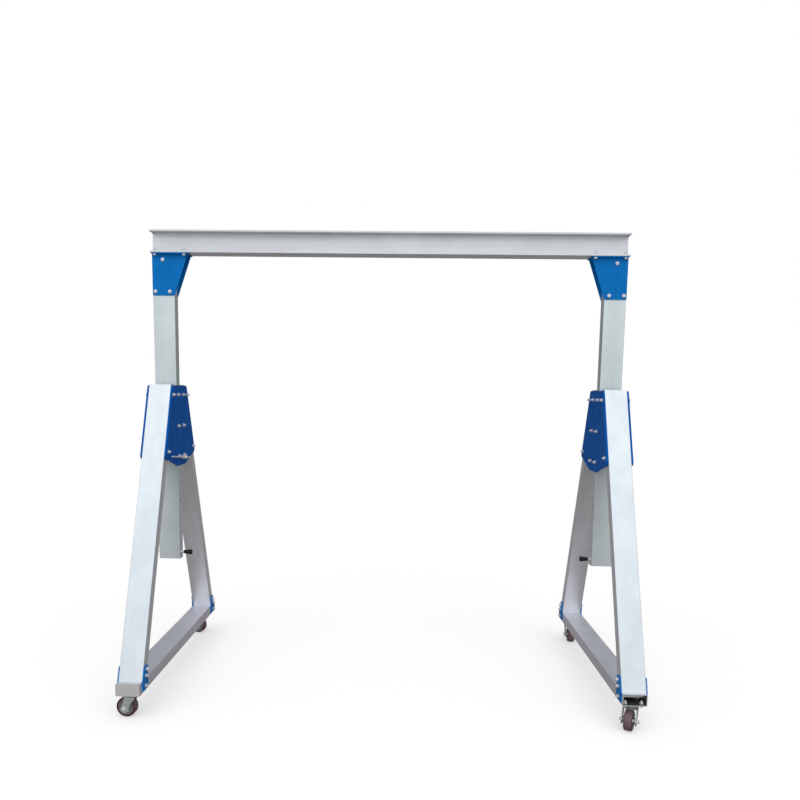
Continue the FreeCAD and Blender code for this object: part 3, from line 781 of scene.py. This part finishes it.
def add_sheet(bm, to_world, thickness):
    """The pressed sheet of a fork: its outer and inner skin, closed along its edges."""
    across = 10
    outer, inner = [], []
    for x, z, out_x, out_z in fork_path():
        rear, front = fork_edges(z)
        places = [rear + (front - rear) * j / across for j in range(across + 1)]
        inner_x, inner_z = x - out_x * thickness, z - out_z * thickness
        outer.append([bm.verts.new(to_world @ Vector((x, y, z))) for y in places])
        inner.append([bm.verts.new(to_world @ Vector((inner_x, y, inner_z))) for y in places])
    for i in range(len(outer) - 1):
        for j in range(across):
            bm.faces.new((outer[i][j], outer[i][j + 1], outer[i + 1][j + 1], outer[i + 1][j]))
            bm.faces.new((inner[i][j], inner[i + 1][j], inner[i + 1][j + 1], inner[i][j + 1]))
        bm.faces.new((outer[i][0], outer[i + 1][0], inner[i + 1][0], inner[i][0]))
        bm.faces.new((outer[i][across], inner[i][across], inner[i + 1][across], outer[i + 1][across]))
    for i in (0, len(outer) - 1):
        for j in range(across):
            bm.faces.new((outer[i][j], inner[i][j], inner[i][j + 1], outer[i][j + 1]))
    rims = [edge for edge in bm.edges if len(edge.link_faces) == 2 and edge.calc_face_angle(0) > 1.0]
    bmesh.ops.bevel(bm, geom=rims, offset=0.0009, segments=2, affect="EDGES", profile=0.5)


def add_lip(bm, to_world, under):
    """The edge of the crown that is turned down behind the wheel, its own edges rounded."""
    width, thickness, depth = 2 * (CHEEK_INSIDE - 0.007), 0.004, 0.0042
    sunk = 0.0003
    place = Vector((0, CROWN_REAR + thickness / 2 + sunk, under - depth / 2 + sunk))
    stretch = Matrix.Diagonal((width, thickness, depth, 1.0))
    lip = bmesh.ops.create_cube(bm, size=1.0, matrix=to_world @ Matrix.Translation(place) @ stretch)
    corners = set(lip["verts"])
    edges = [edge for edge in bm.edges if edge.verts[0] in corners and edge.verts[1] in corners]
    bmesh.ops.bevel(bm, geom=edges, offset=0.0008, segments=2, affect="EDGES", profile=0.5)


def add_swivel_head(bm, to_world, under):
    """The two races of the swivel with a dark seal between them, and the rivet of the kingpin."""
    lower = [(0, CROWN_TOP - 0.0002), (0.0338, CROWN_TOP - 0.0002)]
    lower += arc(0.0300, CROWN_TOP + 0.0046, 0.0040, -50, 50, 6)
    lower += [(0.0316, CROWN_TOP + 0.0090), (0, CROWN_TOP + 0.0090)]
    rings(bm, lower, to_world, 72)
    seal = [(0, CROWN_TOP + 0.0090), (0.0322, CROWN_TOP + 0.0090), (0.0328, CROWN_TOP + 0.0099)]
    seal += [(0.0322, CROWN_TOP + 0.0108), (0, CROWN_TOP + 0.0108)]
    rings(bm, seal, to_world, 72, 1)
    upper = [(0, CROWN_TOP + 0.0108), (0.0316, CROWN_TOP + 0.0108)]
    upper += arc(0.0298, CROWN_TOP + 0.0148, 0.0042, -50, 60, 6)
    upper += [(0.0270, PLATE_LOW - 0.0006), (0, PLATE_LOW - 0.0006)]
    rings(bm, upper, to_world, 72)
    rivet = [(0, under - 0.0042), (0.0050, under - 0.0042), (0.0078, under - 0.0034)]
    rivet += [(0.0090, under - 0.0020), (0.0092, under), (0, under)]
    rings(bm, rivet, to_world, 32)


def sort_mesh(bm):
    """Put faces, points and edges in an order of place, as a bevel leaves them in a different one each run."""

    def place_of_face(face):
        return [round(value, 6) for value in (*face.calc_center_median(), *face.normal)]

    def place_of_vert(vert):
        middle = sum((face.calc_center_median() for face in vert.link_faces), Vector((0, 0, 0)))
        return [round(value, 6) for value in (*vert.co, *middle)]

    for sequence, place in ((bm.faces, place_of_face), (bm.verts, place_of_vert)):
        ranks = {element: rank for rank, element in enumerate(sorted(sequence, key=place))}
        sequence.sort(key=ranks.get)
        sequence.index_update()
    count = len(bm.verts)
    bm.edges.sort(key=lambda edge: min(v.index for v in edge.verts) * count + max(v.index for v in edge.verts))


def make_fork(corner):
    """A fork pressed from one sheet, with its lip and its swivel head."""
    to_world = caster_frame(corner)
    thickness = CHEEK_OUTSIDE - CHEEK_INSIDE
    bm = bmesh.new()
    add_sheet(bm, to_world, thickness)
    add_lip(bm, to_world, CROWN_TOP - thickness)
    add_swivel_head(bm, to_world, CROWN_TOP - thickness)
    bmesh.ops.recalc_face_normals(bm, faces=bm.faces)
    sort_mesh(bm)
    replace_node(corner + "_fork", corner + "_fork_detail", bm, ("zinc_plate", "rubber_black"), 35)


def make_axle(corner):
    """The axle bolt, and a spacer on it between the hub and each cheek."""
    middle = axle_frame(corner) @ Vector((0, 0, 0))
    along = Vector(joints[corner + "_wheel_spin"]["axis"]).normalized() * CHEEK_OUTSIDE
    bm = bmesh.new()
    add_bolt(bm, middle - along, middle + along)
    bore, outside = BOLT_RADIUS + 0.0001, 0.0105
    near, far = HUB_HALF + 0.0001, CHEEK_INSIDE - 0.0002
    for low, high in ((-far, -near), (near, far)):
        closed_rings(bm, [(bore, low), (outside, low), (outside, high), (bore, high)], axle_frame(corner))
    bmesh.ops.recalc_face_normals(bm, faces=bm.faces)
    replace_node(corner + "_axle", corner + "_axle_detail", bm, ("zinc_bolts", "nylon_white"), 32)


for corner in CORNERS:
    make_tyre(corner)
    make_hub(corner)
    make_fork(corner)
    make_axle(corner)


# ---------------------------------------------------------------- handles
def make_grip(side):
    """A moulded black grip with a collar, shallow finger rings and a domed end."""
    node = side + "_stop_pin_grip"
    low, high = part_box(node)
    inward = 1.0 if side == "left" else -1.0
    start = low[0] if side == "left" else high[0]
    length = high[0] - low[0]
    end_radius = (high[2] - low[2]) / 2
    root_radius = end_radius * 0.71
    to_world = frame_matrix((start, (low[1] + high[1]) / 2, (low[2] + high[2]) / 2), (inward, 0, 0))
    collar = root_radius * 1.02
    profile = [(0, 0), (root_radius * 0.9, 0), (collar, 0.0012), (collar, 0.0040)]
    profile.append((root_radius * 0.93, 0.0052))
    steps, rings_apart, ring_depth = 40, 9, 0.00055
    narrow, body_start, dome = root_radius * 0.95, 0.0060, 0.0085
    body_end = length - dome
    for i in range(steps + 1):
        t = i / steps
        radius = narrow + (end_radius - narrow) * t ** 0.85
        if 0.08 < t < 0.9:
            radius -= ring_depth * max(0.0, math.sin(t * math.pi * rings_apart)) ** 0.5
        profile.append((radius, body_start + (body_end - body_start) * t))
    for i in range(1, 9):
        angle = math.pi / 2 * i / 8
        profile.append((end_radius * (0.30 + 0.70 * math.cos(angle)), body_end + dome * math.sin(angle)))
    profile.append((0, length))
    bm = bmesh.new()
    rings(bm, profile, to_world, 48)
    bmesh.ops.recalc_face_normals(bm, faces=bm.faces)
    replace_node(node, side + "_grip_detail", bm, ("black_grip",), 40)


for side in SIDES:
    make_grip(side)


def make_lock_pin():
    """The height pin with a turned head, and the bar that slides through it, with a sleeve and a knob."""
    low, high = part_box("left_lock_pin")
    plate_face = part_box("left_inner_side_plate")[1][0]
    head_radius, pin_radius = 0.012, 0.008
    bar_radius, sleeve_radius, sleeve_start = 0.0045, 0.0065, 0.020
    tilt = math.radians(5.5)
    bar_x = high[0] - head_radius
    front = (low[1] + bar_radius * math.sin(tilt)) / math.cos(tilt)
    rear = (high[1] - sleeve_radius * math.sin(tilt)) / math.cos(tilt)
    pin_z = low[2] + rear * math.sin(tilt) + sleeve_radius * math.cos(tilt)
    bm = bmesh.new()

    outward = frame_matrix((plate_face, 0, pin_z), (1, 0, 0))
    length = high[0] - plate_face
    groove = head_radius - 0.0016
    head = [(0, 0), (head_radius - 0.0010, 0), (head_radius, 0.0010), (head_radius, 0.0080), (groove, 0.0092)]
    head += [(groove, 0.0118), (head_radius, 0.0130), (head_radius, length - 0.0028)]
    head += [(head_radius - 0.0008, length - 0.0010), (head_radius - 0.0028, length - 0.0001), (0, length)]
    rings(bm, head, outward, 48)
    shank = plate_face - low[0]
    tip = [(0, -shank), (pin_radius - 0.0016, -shank), (pin_radius, -shank + 0.0016)]
    tip += [(pin_radius, 0.001), (0, 0.001)]
    rings(bm, tip, outward, 40)

    bar = frame_matrix((bar_x, 0, pin_z), (0, math.cos(tilt), -math.sin(tilt)))
    bar_end = rear - 0.004
    shape = [(0, front)] + arc(0, front + bar_radius, bar_radius, -80, 0, 5)
    rings(bm, shape + [(bar_radius, bar_end), (0, bar_end)], bar, 28)
    grip = [(0, sleeve_start), (sleeve_radius - 0.0012, sleeve_start), (sleeve_radius, sleeve_start + 0.0014)]
    grip += [(sleeve_radius, rear - 0.0024), (sleeve_radius - 0.0012, rear - 0.0006), (0, rear)]
    rings(bm, grip, bar, 32)
    bmesh.ops.recalc_face_normals(bm, faces=bm.faces)
    replace_node("left_lock_pin", "left_lock_pin_detail", bm, ("zinc_bolts",), 40)


make_lock_pin()


# ---------------------------------------------------------------- floor, lights and camera
def add_floor():
    """A pale floor that runs into the white background, and casts no light on the crane."""
    bm = bmesh.new()
    bmesh.ops.create_grid(bm, x_segments=2, y_segments=2, size=60.0)
    mesh = bpy.data.meshes.new("studio_floor")
    bm.to_mesh(mesh)
    bm.free()
    surface = Surface("studio_floor")
    cloud = surface.ramp(surface.noise(0.6, 2.0), 0.3, 0.7)
    surface.feed("Base Color", surface.mix(cloud, (0.953, 0.923, 0.883), (0.948, 0.918, 0.878)))
    surface.set(Roughness=0.9, Specular_IOR_Level=0.0)
    surface.set(Emission_Color=(1.0, 1.0, 1.0, 1.0), Emission_Strength=0.42)
    mesh.materials.append(surface.material)
    floor = bpy.data.objects.new("studio_floor", mesh)
    bpy.context.scene.collection.objects.link(floor)
    floor.visible_glossy = False
    floor.visible_diffuse = False


def add_sky():
    """Broad soft light from the front and above, and a plain white background for the camera."""
    world = bpy.data.worlds.new("studio")
    bpy.context.scene.world = world
    world.use_nodes = True
    sky = Graph(world.node_tree, "Generated")
    direction = sky.split(sky.place)
    depth, height = direction["Y"], direction["Z"]

    front = sky.maths("MAXIMUM", sky.maths("MULTIPLY", depth, -1.0), 0.0)
    key = sky.maths("MULTIPLY", sky.ramp(height, 0.30, 0.75), 0.45)
    front_light = sky.maths("MULTIPLY", front, sky.maths("ADD", key, 0.68))
    rear = sky.maths("MAXIMUM", depth, 0.0)
    rear_light = sky.maths("MULTIPLY", rear, sky.ramp(height, 0.10, -0.25, 0.06, 0.35))
    lift = sky.maths("ADD", 0.45, sky.maths("MULTIPLY", front, 0.40))
    top_light = sky.maths("MULTIPLY", sky.maths("MAXIMUM", height, 0.0), lift)
    level = sky.maths("ADD", sky.maths("ADD", front_light, rear_light), sky.maths("ADD", top_light, 0.09))
    sunk = sky.ramp(height, 0.0, -1.15)
    level = sky.maths("MULTIPLY", level, sky.maths("SUBTRACT", 1.0, sunk))
    level = sky.maths("ADD", level, sky.maths("MULTIPLY", sunk, 0.08))

    lit = sky.tree.nodes.new("ShaderNodeBackground")
    tint = sky.mix(sky.ramp(height, -0.25, 0.35), (1.0, 0.94, 0.94), (0.96, 0.99, 1.03))
    sky.tree.links.new(tint, lit.inputs["Color"])
    sky.tree.links.new(level, lit.inputs["Strength"])
    seen = sky.tree.nodes.new("ShaderNodeBackground")
    seen.inputs["Color"].default_value = (1.0, 1.0, 1.0, 1.0)
    seen.inputs["Strength"].default_value = 1.0
    choose = sky.tree.nodes.new("ShaderNodeMixShader")
    camera_ray = sky.tree.nodes.new("ShaderNodeLightPath").outputs["Is Camera Ray"]
    for source, socket in zip((camera_ray, lit.outputs[0], seen.outputs[0]), choose.inputs):
        sky.tree.links.new(source, socket)
    output = sky.tree.nodes.new("ShaderNodeOutputWorld")
    sky.tree.links.new(choose.outputs[0], output.inputs["Surface"])


def add_camera():
    """A camera in front of the middle of the crane, at head height, looking slightly down."""
    place = Vector((0.089, -4.688, 1.8705))
    heading, pitch, roll = -0.0238, -0.1185, 0.0128
    level_forward = Vector((math.sin(heading), math.cos(heading), 0.0))
    forward = level_forward * math.cos(pitch) + Vector((0.0, 0.0, math.sin(pitch)))
    level_right = Vector((math.cos(heading), -math.sin(heading), 0.0))
    level_up = level_right.cross(forward)
    right = level_right * math.cos(roll) + level_up * math.sin(roll)
    up = level_up * math.cos(roll) - level_right * math.sin(roll)
    data = bpy.data.cameras.new("camera")
    data.lens = 32.4
    data.sensor_width = 36.0
    data.shift_x = 0.0224
    data.shift_y = 0.0996
    data.clip_end = 200.0
    camera = bpy.data.objects.new("camera", data)
    matrix = Matrix((right, up, -forward)).transposed().to_4x4()
    matrix.translation = place
    camera.matrix_world = matrix
    bpy.context.scene.collection.objects.link(camera)
    bpy.context.scene.camera = camera


add_floor()
add_sky()
add_camera()
bpy.context.scene.view_settings.view_transform = "Standard"
